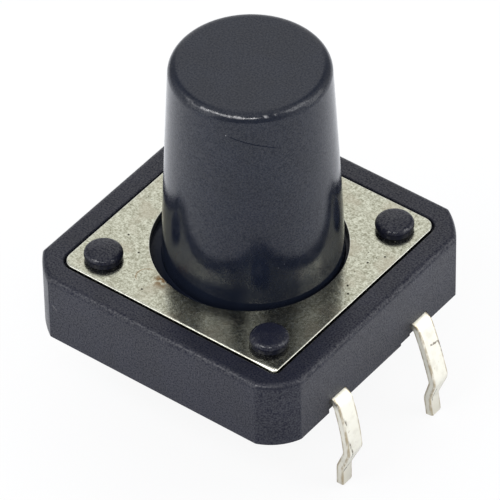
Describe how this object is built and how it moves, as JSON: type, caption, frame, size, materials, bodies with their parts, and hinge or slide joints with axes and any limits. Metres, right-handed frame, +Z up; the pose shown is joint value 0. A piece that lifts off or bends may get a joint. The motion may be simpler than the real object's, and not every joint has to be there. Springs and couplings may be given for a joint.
{
  "type": "tactile pushbutton switch",
  "caption": "Square through-hole pushbutton with a tall tapered stem, a riveted steel cover plate, a snap dome inside and folded solder terminals.",
  "frame": {"origin": "centre of the base's seating face, where the switch rests on a circuit board", "axes": "+Z up along the stem, away from the board; +X towards a side with terminals; +Y along the row of terminals"},
  "size_m": [0.014, 0.012, 0.0157],
  "materials": {
    "base_plastic": "satin moulded black",
    "cover_steel": "dull plated sheet, lightly pitted and stained",
    "stem_plastic": "satin moulded black, lightly scratched",
    "dome_steel": "bright spring sheet",
    "contact_plating": "dull silver plating over brass, with tarnish marks"
  },
  "bodies": {
    "base": {"housing": "base_plastic", "cover_plate": "cover_steel", "snap_dome": "dome_steel", "common_contact": "contact_plating", "centre_contact": "contact_plating"},
    "stem": {"plunger": "stem_plastic"}
  },
  "joints": [
    {"name": "stem_press", "type": "slide", "parent": "base", "child": "stem", "axis": [0, 0, -1], "range_m": [0, 0.0003], "stiffness_N_per_m": 5300, "deforming": ["snap_dome"]}
  ]
}
